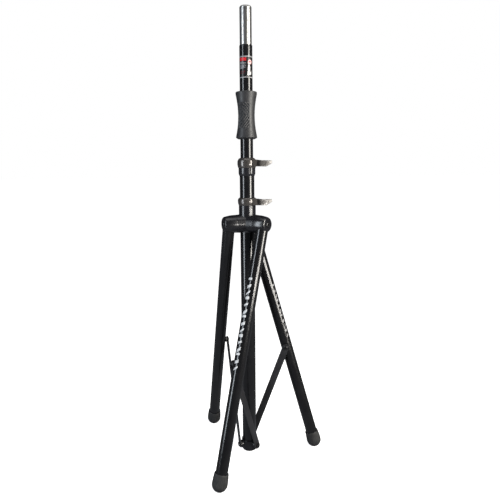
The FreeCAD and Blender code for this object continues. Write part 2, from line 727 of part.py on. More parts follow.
# ---------------------------------------------------------------- legs
def make_leg(arm):
    name = LEG_NAMES[arm]
    frame = hub_frame(arm)
    inner_face = "arm_reach + free_gap - leg_offset"
    outer_face = "knuckle_reach - leg_offset"
    drum = turned_body(f"drum_{name}", [
        ("0", inner_face),
        ("arm_radius", inner_face),
        ("knuckle_shoulder_radius", f"{outer_face} - knuckle_shoulder_depth"),
        ("knuckle_face_radius", outer_face),
        ("0", outer_face),
    ], {1: "0 - knuckle_bow", 2: "0 - knuckle_shoulder_round"})
    drum.Placement = FreeCAD.Placement(FreeCAD.Vector(), LYING_OUT)
    plug = rod(f"plug_{name}", "leg_radius - leg_wall", "plug_length",
               ("0", "0", "0 - plug_length"))
    bore = rod(f"knuckle_bore_{name}", "pivot_bolt_radius + running_gap",
               "2 * arm_reach", ("0 - arm_reach", "0", "0"), LYING_OUT)
    seat = rod(f"knuckle_seat_{name}", "pivot_head_radius", "arm_radius",
               ("knuckle_reach - leg_offset - pivot_head_depth", "0", "0"), LYING_OUT)
    blank = fuse(f"knuckle_blank_{name}", [drum, plug])
    tools = fuse(f"knuckle_tools_{name}", [bore, seat])
    keep(f"knuckle_{name}", cut(f"knuckle_cut_{name}", blank, tools), frame)

    tube_end = "leg_length - foot_sole"
    shell = rod(f"leg_shell_{name}", "leg_radius", f"{tube_end} - leg_top_gap",
                ("0", "0", f"0 - ( {tube_end} )"))
    hollow = rod(f"leg_hollow_{name}", "leg_radius - leg_wall", "leg_length + 2 * cutter_margin",
                 ("0", "0", "0 - leg_length - cutter_margin"))
    hole = rod(f"leg_insert_hole_{name}", "insert_radius", "insert_depth",
               ("0 - leg_radius - seating", "0", "0 - strut_pivot_drop"), LYING_OUT)
    tools = fuse(f"leg_tools_{name}", [hollow, drum, hole])
    keep(f"leg_tube_{name}", cut(f"leg_tube_cut_{name}", shell, tools), frame)

    plug_body = rod(f"insert_body_{name}", "insert_radius", "insert_depth",
                    ("0 - leg_radius", "0", "0 - strut_pivot_drop"), LYING_OUT)
    wrap = rod(f"insert_wrap_{name}", "leg_radius", "4 * insert_radius",
               ("0", "0", "0 - strut_pivot_drop - 2 * insert_radius"))
    inside = doc.addObject("Part::Common", f"insert_common_{name}")
    inside.Base = plug_body
    inside.Tool = wrap
    thread = rod(f"insert_thread_{name}", "strut_bolt_radius", "insert_bore_depth",
                 ("0 - leg_radius - seating", "0", "0 - strut_pivot_drop"), LYING_OUT)
    keep(f"strut_insert_{name}", cut(f"insert_cut_{name}", inside, thread), frame)

    sole = "0 - leg_length"
    foot = turned_body(f"foot_body_{name}", [
        ("leg_radius", "0 - foot_rim"),
        ("foot_rim_radius", "0 - foot_rim"),
        ("foot_radius", "0 - leg_length + foot_radius"),
        ("0", sole),
        ("0", "0 - leg_length + foot_sole"),
        ("leg_radius", "0 - leg_length + foot_sole"),
    ], {2: "foot_radius"})
    keep(f"foot_{name}", foot, frame)


def make_strut(arm):
    name = LEG_NAMES[arm]
    frame = strut_frame(arm)
    start = ("0 - strut_thickness / 2", "0", "0")
    end = ("0 - strut_thickness / 2", "0", "strut_length")
    bar = block(f"strut_bar_{name}", "strut_thickness", "strut_width", "strut_length",
                ("0 - strut_thickness / 2", "0 - strut_width / 2", "0"))
    ends = [rod(f"strut_end_{place}_{name}", "strut_width / 2", "strut_thickness", at,
                LYING_OUT) for place, at in (("low", start), ("high", end))]
    holes = [rod(f"strut_hole_{place}_{name}", radius,
                 "2 * cutter_margin", ("0 - cutter_margin", "0", height), LYING_OUT)
             for place, radius, height in (
                 ("low", "strut_bolt_radius + running_gap", "0"),
                 ("high", "strut_bolt_radius", "strut_length"))]
    blank = fuse(f"strut_blank_{name}", [bar] + ends)
    tools = fuse(f"strut_holes_{name}", holes)
    keep(f"strut_{name}", cut(f"strut_cut_{name}", blank, tools), frame)

    spacer_end = "leg_offset - leg_radius - free_gap - strut_offset"
    spacer = rod(f"spacer_blank_{name}", "spacer_radius",
                 f"{spacer_end} - strut_thickness / 2",
                 ("strut_thickness / 2", "0", "strut_length"), LYING_OUT)
    bore = rod(f"spacer_bore_{name}", "strut_bolt_radius", "leg_offset",
               ("0", "0", "strut_length"), LYING_OUT)
    keep(f"strut_spacer_{name}", cut(f"spacer_cut_{name}", spacer, bore), frame)

    shank = rod(f"strut_shank_{name}", "strut_bolt_radius",
                f"{spacer_end} + strut_thickness / 2",
                start[:2] + ("strut_length",), LYING_OUT)
    head = rod(f"strut_head_{name}", "strut_head_radius", "strut_head_height",
               ("0 - strut_thickness / 2 - strut_head_height", "0", "strut_length"),
               LYING_OUT)
    keep(f"strut_bolt_{name}", fuse(f"strut_bolt_fused_{name}", [shank, head]), frame)


def shrunk(box):
    """A bounding box drawn in by the seating, to compare extents with."""
    box = FreeCAD.BoundBox(box)
    box.enlarge(-value_of("seating"))
    return box


make_mast()
make_bracket()
make_lift_spring()
make_inner_tube()
make_collar("upper_collar", "upper_collar_bottom", "upper_collar_top",
            "upper_collar_belly", "sleeve_radius", "sleeve_top", "inner_radius")
make_collar("lower_collar", "lower_collar_bottom + free_gap", "lower_collar_top",
            "lower_collar_belly", "sleeve_radius", "neck_collet_top", "outer_radius")
make_hub()
for arm_number in range(3):
    make_leg(arm_number)
    make_strut(arm_number)
doc.recompute()

for item in doc.Objects:
    if "Invalid" in item.State or "Error" in item.State:
        raise RuntimeError(f"{item.Label} failed: {item.State} {item.getStatusString()}")
for item in sub_parts:
    if item.Shape.isNull() or not item.Shape.isValid() or not item.Shape.Solids:
        raise RuntimeError(f"{item.Label} has no valid solid")
for item in doc.findObjects("Part::MultiFuse"):
    whole = item.Shape.copy()
    whole.Placement = FreeCAD.Placement()
    for piece in item.Shapes:
        if not whole.BoundBox.isInside(shrunk(piece.Shape.BoundBox)):
            raise RuntimeError(f"{item.Label} has lost {piece.Label}")

os.makedirs("parts", exist_ok=True)
for item in sub_parts:
    item.Shape.exportStep(f"parts/{item.Label}.step")
print(f"{len(sub_parts)} sub-parts")
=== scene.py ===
import json
import math

import bmesh
import bpy
from mathutils import Matrix, Vector


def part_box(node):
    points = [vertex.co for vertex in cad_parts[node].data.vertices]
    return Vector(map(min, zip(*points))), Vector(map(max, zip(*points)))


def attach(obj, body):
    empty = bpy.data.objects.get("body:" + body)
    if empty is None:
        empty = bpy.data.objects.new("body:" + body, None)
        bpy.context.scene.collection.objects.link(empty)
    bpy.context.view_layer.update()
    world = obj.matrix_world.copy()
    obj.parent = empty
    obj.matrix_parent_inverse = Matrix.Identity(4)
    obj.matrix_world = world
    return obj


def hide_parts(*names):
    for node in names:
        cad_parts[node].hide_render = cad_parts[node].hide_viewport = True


# Loudspeaker stand on a folding tripod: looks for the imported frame, in metres.

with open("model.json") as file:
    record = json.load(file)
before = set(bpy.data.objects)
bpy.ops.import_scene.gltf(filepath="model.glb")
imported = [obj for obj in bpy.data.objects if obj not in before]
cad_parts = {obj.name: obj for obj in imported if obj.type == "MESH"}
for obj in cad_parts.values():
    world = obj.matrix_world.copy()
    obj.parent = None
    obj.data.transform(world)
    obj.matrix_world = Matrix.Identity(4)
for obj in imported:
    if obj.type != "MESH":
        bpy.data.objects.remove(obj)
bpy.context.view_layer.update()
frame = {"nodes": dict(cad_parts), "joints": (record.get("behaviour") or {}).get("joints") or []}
NODES = frame["nodes"]
JOINTS = {joint["name"]: joint for joint in frame["joints"]}
SIDES = ("front", "right", "left")
MM = 0.001
UM = 0.000001

WALL = 2 * MM                   # wall of every tube
HAIR = 0.02 * MM                # keeps the sleeve off the parts that it is pressed on
INK = 0.05 * MM                 # thickness of a printed mark
FOOT_RIM_DROP = 7 * MM          # the boot's rim below the CAD foot's rim
ROUND = 128                     # sides of a turned piece
FRONT = -90                     # degrees about the mast at which a label faces the camera


# ---------------------------------------------------------------- materials

class Surface:
    """A Principled material. Its colour, roughness and relief come from noise in object space."""

    def __init__(self, name, metallic=0.0, specular=0.5, coat=0.0, coat_roughness=0.1):
        self.material = bpy.data.materials.new(name)
        self.material.use_nodes = True
        self.tree = self.material.node_tree
        self.shader = self.tree.nodes["Principled BSDF"]
        self.shader.inputs["Metallic"].default_value = metallic
        self.shader.inputs["Specular IOR Level"].default_value = specular
        self.shader.inputs["Coat Weight"].default_value = coat
        self.shader.inputs["Coat Roughness"].default_value = coat_roughness
        self.place = self.node("ShaderNodeTexCoord").outputs["Object"]
        self.relief = None

    def node(self, kind, **values):
        made = self.tree.nodes.new(kind)
        for key, value in values.items():
            setattr(made, key, value)
        return made

    def link(self, source, target):
        self.tree.links.new(source, target)

    def noise(self, scale, detail=3.0, roughness=0.55, stretch=(1, 1, 1)):
        mapping = self.node("ShaderNodeMapping")
        mapping.inputs["Scale"].default_value = stretch
        self.link(self.place, mapping.inputs["Vector"])
        made = self.node("ShaderNodeTexNoise")
        made.inputs["Scale"].default_value = scale
        made.inputs["Detail"].default_value = detail
        made.inputs["Roughness"].default_value = roughness
        self.link(mapping.outputs["Vector"], made.inputs["Vector"])
        return made.outputs["Fac"]

    def ranged(self, value, low, high, start=0.3, stop=0.7):
        made = self.node("ShaderNodeMapRange")
        made.inputs["From Min"].default_value = start
        made.inputs["From Max"].default_value = stop
        made.inputs["To Min"].default_value = low
        made.inputs["To Max"].default_value = high
        self.link(value, made.inputs["Value"])
        return made.outputs["Result"]

    def math(self, operation, first, second):
        made = self.node("ShaderNodeMath", operation=operation)
        self.link(first, made.inputs[0])
        self.link(second, made.inputs[1])
        return made.outputs[0]

    def clouded(self, factor, dark, light):
        """Base colour between two tones."""
        made = self.node("ShaderNodeMix", data_type="RGBA")
        made.inputs["A"].default_value = (*dark, 1)
        made.inputs["B"].default_value = (*light, 1)
        self.link(factor, made.inputs["Factor"])
        self.link(made.outputs["Result"], self.shader.inputs["Base Color"])

    def rough(self, value):
        self.link(value, self.shader.inputs["Roughness"])

    def bump(self, value, distance):
        made = self.node("ShaderNodeBump")
        made.inputs["Distance"].default_value = distance
        self.link(value, made.inputs["Height"])
        if self.relief is not None:
            self.link(self.relief, made.inputs["Normal"])
        self.relief = made.outputs["Normal"]
        self.link(self.relief, self.shader.inputs["Normal"])


def coated_metal(name, dark, light, rough, relief, peel=420, **shader):
    """Paint or anodising: cloudy colour, soft orange peel and faint scuffs along the length."""
    made = Surface(name, **shader)
    made.clouded(made.ranged(made.noise(35), 0, 1), dark, light)
    clouds = made.ranged(made.noise(60, detail=5), *rough)
    scuffs = made.ranged(made.noise(300, stretch=(1, 1, 0.03)), 0, 0.02, 0.58, 0.8)
    made.rough(made.math("ADD", clouds, scuffs))
    made.bump(made.noise(peel, detail=1), relief)
    return made.material


def moulded(name, dark, light, rough, grain, relief, **shader):
    """Moulded plastic or rubber with a fine pebbled skin."""
    made = Surface(name, **shader)
    made.clouded(made.ranged(made.noise(55, detail=4), 0, 1), dark, light)
    made.rough(made.ranged(made.noise(140, detail=4), *rough))
    made.bump(made.noise(grain, detail=3, roughness=0.6), relief)
    return made.material


def turned_metal(name, dark, light, rough, marks, relief, **shader):
    """Bare metal with fine marks around its axis."""
    made = Surface(name, metallic=1.0, **shader)
    made.clouded(made.ranged(made.noise(70, detail=4), 0, 1), dark, light)
    rings = made.noise(marks, detail=3, stretch=(0.01, 0.01, 1))
    made.rough(made.ranged(rings, *rough))
    made.bump(rings, relief)
    return made.material


def painted_light_casting(name):
    """Bronzed casting with painted light on a collar's wing: painted shade in the hollow near its
    root, a painted highlight on its face and darker towards its tip. The tones run outwards along
    X, from the mast's axis to the end of the wings."""
    wing_end = 80 * MM
    bronze = (0.105, 0.096, 0.090, 1)
    tip = (0.045, 0.042, 0.040, 1)
    # Painted shade in the wing's hollow, a painted highlight on its face, then darker towards its
    # tip.
    painted_shade_and_highlight = ((0.40, 0.016), (0.47, 0.030), (0.56, 0.125), (0.66, 0.11), (0.78, 0.055))
    made = Surface(name, metallic=0.6, coat=0.5, coat_roughness=0.17)
    apart = made.node("ShaderNodeSeparateXYZ")
    made.link(made.place, apart.inputs[0])
    drift = made.ranged(made.noise(90), -2 * MM, 2 * MM)
    reach = made.math("ADD", apart.outputs["X"], drift)
    ramp = made.node("ShaderNodeValToRGB")
    tones = ramp.color_ramp
    tones.elements[0].position = 0.36
    tones.elements[0].color = bronze
    tones.elements[1].position = 0.95
    tones.elements[1].color = tip
    for place, grey in painted_shade_and_highlight:
        tones.elements.new(place).color = (grey, grey * 0.94, grey * 0.90, 1)
    made.link(made.ranged(reach, 0, 1, 0, wing_end), ramp.inputs[0])
    made.link(ramp.outputs["Color"], made.shader.inputs["Base Color"])
    made.rough(made.ranged(made.noise(60, detail=5), 0.27, 0.29))
    made.bump(made.noise(520, detail=1), 1 * UM)
    return made.material


def printed(name, dark, light):
    """Screen-printed film: a tone with slight ink mottling."""
    made = Surface(name, specular=0.45)
    made.clouded(made.ranged(made.noise(900, detail=2), 0, 1), dark, light)
    made.rough(made.ranged(made.noise(200), 0.3, 0.42))
    made.bump(made.noise(1200), 4 * UM)
    return made.material


FINISHES = {
    "black_tube": coated_metal("tube finish", (0.006, 0.006, 0.007), (0.010, 0.010, 0.011),
                               (0.195, 0.205), 0.4 * UM, coat=0.25, coat_roughness=0.16),
    "black_casting": coated_metal("casting finish", (0.007, 0.007, 0.009), (0.011, 0.011, 0.014),
                                  (0.24, 0.26), 1 * UM, 520, specular=0.7),
    "bronze_casting": painted_light_casting("collar finish"),
    "strut_steel": coated_metal("strut finish", (0.016, 0.016, 0.018), (0.026, 0.026, 0.029),
                                (0.32, 0.40), 3 * UM, 520),
    "black_steel": coated_metal("black steel", (0.036, 0.036, 0.038), (0.050, 0.050, 0.052),
                                (0.26, 0.30), 3 * UM, 520, metallic=0.7),
    "sleeve_plastic": moulded("sleeve plastic", (0.010, 0.010, 0.013), (0.015, 0.015, 0.019),
                              (0.26, 0.30), 1100, 2 * UM, specular=0.8),
    "black_plastic": moulded("plug plastic", (0.015, 0.015, 0.016), (0.025, 0.025, 0.027),
                             (0.42, 0.55), 1000, 30 * UM),
    "bush_plastic": moulded("bush plastic", (0.030, 0.030, 0.032), (0.045, 0.045, 0.047),
                            (0.35, 0.5), 1100, 20 * UM),
    "grip_rubber": moulded("grip rubber", (0.024, 0.024, 0.027), (0.034, 0.034, 0.036),
                           (0.42, 0.50), 1300, 10 * UM),
    "foot_rubber": moulded("foot rubber", (0.022, 0.022, 0.023), (0.036, 0.036, 0.037),
                           (0.56, 0.72), 900, 60 * UM),
    "bare_aluminium": turned_metal("turned aluminium", (0.44, 0.44, 0.43), (0.48, 0.48, 0.47),
                                   (0.355, 0.37), 3000, 0.2 * UM),
    "bright_steel": turned_metal("bright steel", (0.55, 0.56, 0.57), (0.66, 0.67, 0.68),
                                 (0.20, 0.30), 2500, 3 * UM),
}
INKS = {
    "white": printed("white ink", (0.78, 0.78, 0.77), (0.90, 0.90, 0.89)),
    "grey": printed("grey ink", (0.30, 0.31, 0.33), (0.42, 0.43, 0.45)),
    "silver": printed("silver ink", (0.26, 0.26, 0.27), (0.40, 0.40, 0.41)),
    "red": printed("red ink", (0.55, 0.012, 0.020), (0.75, 0.030, 0.035)),
    "wine": printed("dark red ink", (0.09, 0.006, 0.010), (0.14, 0.012, 0.016)),
    "rose": printed("rose ink", (0.80, 0.42, 0.42), (0.90, 0.55, 0.54)),
    "black": printed("black film", (0.008, 0.008, 0.009), (0.014, 0.014, 0.015)),
}


def finish_nodes():
    """Every carried-over CAD node gets its slot's finish."""
    for node in NODES.values():
        for place in node.material_slots:
            place.material = FINISHES[place.material.name.split(".")[0]]


# ---------------------------------------------------------------- mesh tools

def softened(corners, steps=6):
    """Points (r, z) of a section whose corners (r, z, rounding) become arcs."""
    points = []
    for index, corner in enumerate(corners):
        here = Vector(corner[:2])
        if len(corner) < 3:
            points.append(tuple(here))
            continue
        before = (Vector(corners[index - 1][:2]) - here).normalized()
        after = (Vector(corners[(index + 1) % len(corners)][:2]) - here).normalized()
        half = before.angle(after) / 2
        centre = here + (before + after).normalized() * (corner[2] / math.sin(half))
        first = here + before * (corner[2] / math.tan(half)) - centre
        last = here + after * (corner[2] / math.tan(half)) - centre
        for step in range(steps + 1):
            share = step / steps
            spoke = first.lerp(last, share).normalized() * corner[2]
            points.append(tuple(centre + spoke))
    return points


def lathe(section, segments=96, dent=None):
    """A section of (r, z) points turned about Z. It closes on itself, or at the axis.
    dent(angle, r, z) gives how far a point moves in towards the axis."""
    build = bmesh.new()
    rings = []
    for radius, height in section:
        if radius < 1e-7:
            rings.append([build.verts.new((0, 0, height))])
            continue
        ring = []
        for step in range(segments):
            angle = 2 * math.pi * step / segments
            reach = radius - (dent(angle, radius, height) if dent else 0)
            ring.append(build.verts.new((reach * math.cos(angle), reach * math.sin(angle), height)))
        rings.append(ring)
    pairs = list(zip(rings, rings[1:]))
    if section[0][0] > 1e-7:
        pairs.append((rings[-1], rings[0]))
    for low, high in pairs:
        for step in range(segments):
            after = (step + 1) % segments
            corners = [low[step % len(low)], low[after % len(low)],
                       high[after % len(high)], high[step % len(high)]]
            corners = list(dict.fromkeys(corners))
            if len(corners) > 2:
                build.faces.new(corners)
    return build


def piece(name, build, body, finish, replaces=(), place=None, sharp=32):
    """Turns a bmesh into an object that rides on a body."""
    if place is not None:
        build.transform(place)
    bmesh.ops.recalc_face_normals(build, faces=build.faces)
    mesh = bpy.data.meshes.new(name)
    build.to_mesh(mesh)
    build.free()
    mesh.shade_smooth()
    mesh.set_sharp_from_angle(angle=math.radians(sharp))
    mesh.materials.append(finish)
    made = bpy.data.objects.new(name, mesh)
    bpy.context.scene.collection.objects.link(made)
    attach(made, body)
    if replaces:
        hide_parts(*replaces)
    return made


def carve(base, build, sharp=32):
    """Cuts a throw-away mesh out of a piece."""
    bmesh.ops.recalc_face_normals(build, faces=build.faces)
    mesh = bpy.data.meshes.new("tool")
    build.to_mesh(mesh)
    build.free()
    tool = bpy.data.objects.new("tool", mesh)
    bpy.context.scene.collection.objects.link(tool)
    cut = base.modifiers.new("cut", "BOOLEAN")
    cut.operation = "DIFFERENCE"
    cut.object = tool
    cut.solver = "EXACT"
    bpy.context.view_layer.update()
    shape = base.evaluated_get(bpy.context.evaluated_depsgraph_get())
    result = bpy.data.meshes.new_from_object(shape)
    base.modifiers.remove(cut)
    base.data = result
    bpy.data.objects.remove(tool)
    base.data.shade_smooth()
    base.data.set_sharp_from_angle(angle=math.radians(sharp))


def film(outline, radius, thickness, step=5.0):
    """A thin film wrapped on a cylinder about Z. Its outline is (degrees, height) points."""
    build = bmesh.new()
    build.faces.new([build.verts.new((angle, height, 0)) for angle, height in outline])
    low = min(angle for angle, _ in outline)
    high = max(angle for angle, _ in outline)
    for cut in range(math.floor(low / step) + 1, math.ceil(high / step)):
        bmesh.ops.bisect_plane(build, geom=[*build.verts, *build.edges, *build.faces],
                               plane_co=(cut * step, 0, 0), plane_no=(1, 0, 0))
    bmesh.ops.solidify(build, geom=list(build.faces), thickness=thickness)
    for vert in build.verts:
        angle, height, depth = vert.co
        reach = radius + abs(depth)
        turn = math.radians(angle)
        vert.co = (reach * math.cos(turn), reach * math.sin(turn), height)
    return build


def merged(builds):
    """Several bmeshes as one."""
    whole = bmesh.new()
    for build in builds:
        mesh = bpy.data.meshes.new("part")
        build.to_mesh(mesh)
        build.free()
        whole.from_mesh(mesh)
        bpy.data.meshes.remove(mesh)
    return whole


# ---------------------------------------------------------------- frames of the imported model

def box_sides(node):
    """Lowest corner, highest corner and middle of a CAD node."""
    low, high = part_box(node)
    return low, high, (low + high) / 2


def frame_of(joint, node):
    """Axes at a joint's pivot: X out along its arm, Z up along the node that swings on it."""
    pivot = Vector(JOINTS[joint]["pos_m"])
    outward = Vector((pivot.x, pivot.y, 0)).normalized()
    along = box_sides(node)[2] - pivot
    along -= outward * along.dot(outward)
    up = along.normalized() * math.copysign(1, along.z)
    side = up.cross(outward)
    turn = Matrix((outward, side, up)).transposed().to_4x4()
    return Matrix.Translation(pivot) @ turn


def local_box(node, place):
    """Lowest and highest corner of a CAD node in a frame of its own."""
    back = place.inverted()
    points = [back @ vert.co for vert in NODES[node].data.vertices]
    low = Vector(min(p[axis] for p in points) for axis in range(3))
    high = Vector(max(p[axis] for p in points) for axis in range(3))
    return low, high


LEG_FRAMES = {side: frame_of(f"leg_{side}_swing", f"leg_tube_{side}") for side in SIDES}
STRUT_FRAMES = {side: frame_of(f"strut_{side}_swing", f"strut_{side}") for side in SIDES}


# ---------------------------------------------------------------- mast

def tube(radius, low, high, outer_rim, inner_rim):
    """A round tube along Z with softened rims. The last two round its upper end."""
    section = softened([
        (radius - WALL, low, 0.3 * MM), (radius, low, 0.5 * MM),
        (radius, high, outer_rim), (radius - WALL, high, inner_rim)], 3)
    return lathe(section, ROUND)


def make_mast():
    """The outer tube of the mast."""
    low, high, _ = box_sides("outer_tube")
    piece("mast_tube", tube(high.x, low.z, high.z, 0.5 * MM, 0.3 * MM), "mast",
          FINISHES["black_tube"], ["outer_tube"])


def make_sleeve():
    """The collet sleeve on top of the mast, split on one side."""
    low, high, _ = box_sides("upper_sleeve")
    mast = box_sides("outer_tube")[1].x + HAIR
    shelf = box_sides("upper_bushing")[1].z + HAIR
    bore = box_sides("inner_tube")[1].x + 0.4 * MM
    lip = 0.9 * MM
    chamfer = 7 * MM
    section = softened([
        (mast, low.z), (mast + lip, low.z, 0.3 * MM), (high.x, low.z + chamfer, 2 * MM),
        (high.x, high.z, 0.8 * MM), (bore, high.z, 0.3 * MM), (bore, shelf), (mast, shelf)], 4)
    sleeve = piece("collet_sleeve", lathe(section, ROUND), "mast", FINISHES["sleeve_plastic"],
                   ["upper_sleeve"])
    slit_turn = math.radians(-65)
    slit_size = (20 * MM, 3 * MM, 60 * MM, 1)
    slit_middle = (25 * MM, 0, low.z + 35 * MM)
    slit = bmesh.new()
    bmesh.ops.create_cube(slit, size=1)
    slit.transform(Matrix.Rotation(slit_turn, 4, "Z") @ Matrix.Translation(slit_middle)
                   @ Matrix.Diagonal(slit_size))
    carve(sleeve, slit)


def make_inner_tube():
    """The tube that slides in the mast, and the turned tip in its end."""
    low, high, _ = box_sides("inner_tube")
    piece("lift_tube", tube(high.x, low.z, high.z, 0.7 * MM, 0.2 * MM), "inner_tube",
          FINISHES["black_tube"], ["inner_tube"])

    tip_low, tip_high, _ = box_sides("spigot_tip")
    reach = tip_high.x
    shoulder = high.z
    plug = high.x - WALL - 0.05 * MM
    undercut = 0.5 * MM
    rim = reach - 9 * MM
    dish = reach - 9.6 * MM
    section = softened([
        (0, tip_low.z), (plug, tip_low.z, 0.6 * MM), (plug, shoulder - 0.3 * MM),
        (reach - undercut, shoulder - 0.3 * MM), (reach - undercut, shoulder + 0.7 * MM),
        (reach, shoulder + 1.2 * MM), (reach, tip_high.z, 5 * MM),
        (rim, tip_high.z, 0.4 * MM), (dish, tip_high.z - 0.5 * MM, 0.4 * MM),
        (0, tip_high.z - 0.5 * MM)], 7)
    piece("spigot", lathe(section, ROUND), "inner_tube", FINISHES["bare_aluminium"],
          ["spigot_tip"])


def make_label():
    """A wrapped label with plain bars, a disc and a wedge."""
    tube_high = box_sides("inner_tube")[1]
    radius = tube_high.x
    top = tube_high.z - 31.6 * MM
    height = 60 * MM
    base = top - height
    band = 0.08 * MM
    edge = 2.6 * MM

    def ring(inner, outer, low, high):
        return lathe([(inner, low), (outer, low), (outer, high), (inner, high)], ROUND)

    def bar(left, right, low, high):
        corners = ((left, low), (right, low), (right, high), (left, high))
        return [(angle + FRONT, base + share * height) for angle, share in corners]

    def disc(angle, share, size, sides=28):
        turn = math.degrees(size / radius)
        return [(angle + FRONT + turn * math.cos(math.tau * side / sides),
                 base + share * height + size * math.sin(math.tau * side / sides))
                for side in range(sides)]

    def printing(name, colour, outlines, lift=0.0):
        shapes = [film(outline, radius + band + lift, INK) for outline in outlines]
        piece(name, merged(shapes), "inner_tube", INKS[colour])

    piece("label_film", ring(radius, radius + band, base, top), "inner_tube", INKS["black"])
    edges = [ring(radius + band, radius + band + INK, z, z + edge) for z in (base, top - edge)]
    piece("label_edges", merged(edges), "inner_tube", INKS["silver"])
    for number, turn in enumerate((0, 180)):
        printing(f"label_red_{number}", "red", [bar(turn - 66, turn + 2, 0.78, 0.93)])
        printing(f"label_lines_{number}", "grey", [
            bar(turn - 60, turn - 24, 0.71, 0.735), bar(turn - 60, turn - 2, 0.655, 0.685),
            bar(turn - 60, turn - 8, 0.58, 0.60), bar(turn - 60, turn - 2, 0.54, 0.56),
            bar(turn - 60, turn - 12, 0.50, 0.52), bar(turn - 60, turn - 4, 0.46, 0.48),
            bar(turn - 60, turn - 20, 0.42, 0.44)])
        printing(f"label_dim_{number}", "wine", [
            bar(turn - 52, turn - 8, 0.27, 0.30), bar(turn - 56, turn - 14, 0.20, 0.23)])
        printing(f"label_disc_{number}", "rose", [disc(turn + 36, 0.72, 6.3 * MM)])
        printing(f"label_dot_{number}", "red", [disc(turn + 36, 0.73, 2.6 * MM)], INK)
        wedge = [(turn + 12, 0.10), (turn + 30, 0.10), (turn + 40, 0.50), (turn + 22, 0.66)]
        foot = [(turn + 34, 0.13), (turn + 52, 0.16), (turn + 46, 0.34)]
        printing(f"label_wedge_{number}", "white", [
            [(angle + FRONT, base + share * height) for angle, share in shape]
            for shape in (wedge, foot)])


def make_grip():
    """A waisted rubber grip with two panels of nested moulded chevrons and a groove at each end."""
    low, high, centre = box_sides("height_grip")
    bore = box_sides("inner_tube")[1].x
    end = high.x
    waist = end - 7.0 * MM
    flare = 7.8 * MM
    half = (high.z - low.z) / 2
    groove = 2.0 * MM
    pitch = 11.8 * MM
    slope = 1.45
    panel_half = math.radians(58)
    panel_height = 38 * MM
    panel_middles = (math.radians(-128), math.radians(52))
    end_grooves = (high.z - 5.5 * MM, low.z + 6.5 * MM)

    def radius_at(height):
        share = abs(height - centre.z) / (half - 3 * MM)
        return min(end, waist + flare * share ** 2)

    def dent(angle, radius, height):
        if radius < bore + 3 * MM:
            return 0
        rise = height - centre.z
        depth = 0.0
        for middle in panel_middles:
            turn = (angle - middle + math.pi) % math.tau - math.pi
            across = turn / panel_half
            if abs(across) > 1 or abs(rise) > panel_height:
                continue
            phase = (abs(rise) + slope * (turn + panel_half) * radius) / pitch
            ripple = 0.5 - 0.5 * math.cos(math.tau * phase)
            fade = min(1, (1 - abs(across)) * 8) * min(1, (1 - abs(rise) / panel_height) * 8)
            depth = groove * ripple * fade
        away = min(abs(height - groove_z) for groove_z in end_grooves)
        return depth + 0.45 * MM * math.exp(-(away / (0.7 * MM)) ** 2)

    rows = 190
    start = low.z + 5 * MM
    step = (high.z - low.z - 8 * MM) / rows
    heights = [start + step * row for row in range(rows + 1)]
    sides = [(radius_at(height), height) for height in heights]
    bottom = softened([(bore, low.z), (bore + 6.5 * MM, low.z, 1 * MM),
                       (end - 0.4 * MM, low.z + 3.2 * MM, 2 * MM), sides[0]], 5)[:-1]
    rim = softened([sides[-1], (end, high.z, 2.2 * MM), (bore, high.z)], 6)[1:-1]
    section = bottom + sides + rim + [(bore + 0.8 * MM, high.z), (bore, high.z - 0.8 * MM)]
    piece("grip", lathe(section, 256, dent), "inner_tube", FINISHES["grip_rubber"],
          ["height_grip"], sharp=60)


# ---------------------------------------------------------------- legs and struts

def make_leg(side):
    """A leg's tube, cut at its upper end to sit on the knuckle's drum."""
    place = LEG_FRAMES[side]
    low, high = local_box(f"leg_tube_{side}", place)
    drum_low, drum_high = local_box(f"knuckle_{side}", place)
    outer = high.x
    inner = outer - WALL
    segments = 96
    build = bmesh.new()
    rings = []
    for reach, upper in ((inner, False), (outer, False), (outer, True), (inner, True)):
        ring = []
        for step in range(segments):
            angle = math.tau * step / segments
            x, y = reach * math.cos(angle), reach * math.sin(angle)
            z = low.z
            if upper:
                z = saddle_height(x, y, drum_high.z, drum_low.x, drum_high.x)
            ring.append(build.verts.new((x, y, z)))
        rings.append(ring)
    for first, second in zip(rings, rings[1:] + rings[:1]):
        for step in range(segments):
            after = (step + 1) % segments
            build.faces.new((first[step], first[after], second[after], second[step]))
    piece(f"leg_{side}_tube", build, f"leg_{side}", FINISHES["black_tube"],
          [f"leg_tube_{side}"], place)


def saddle_height(x, y, drum, inner, outer):
    """Height of the drum's underside above a point of the tube's wall."""
    return -math.sqrt(max(drum_radius(x, drum, inner, outer) ** 2 - y * y, 0)) - 0.05 * MM


def drum_radius(x, drum, inner, outer):
    """The drum's radius: it narrows along a bowed side and rounds off to its end face."""
    shoulder = outer - 4.5 * MM
    narrow = 22.8 * MM
    face = 17 * MM
    side_bow = 135 * MM
    end_bow = 7 * MM
    if x < shoulder:
        return bowed(x, inner, drum, shoulder, narrow, side_bow)
    return bowed(x, shoulder, narrow, outer, face, end_bow)


def bowed(x, x0, r0, x1, r1, bow):
    """Height of a circular arc of radius bow from (x0, r0) to (x1, r1), bulging outwards."""
    chord = math.hypot(x1 - x0, r1 - r0)
    sink = math.sqrt(bow ** 2 - (chord / 2) ** 2)
    nx, ny = (r1 - r0) / chord, -(x1 - x0) / chord
    cx, cy = (x0 + x1) / 2 + nx * sink, (r0 + r1) / 2 + ny * sink
    return cy + math.sqrt(max(bow ** 2 - (x - cx) ** 2, 0))


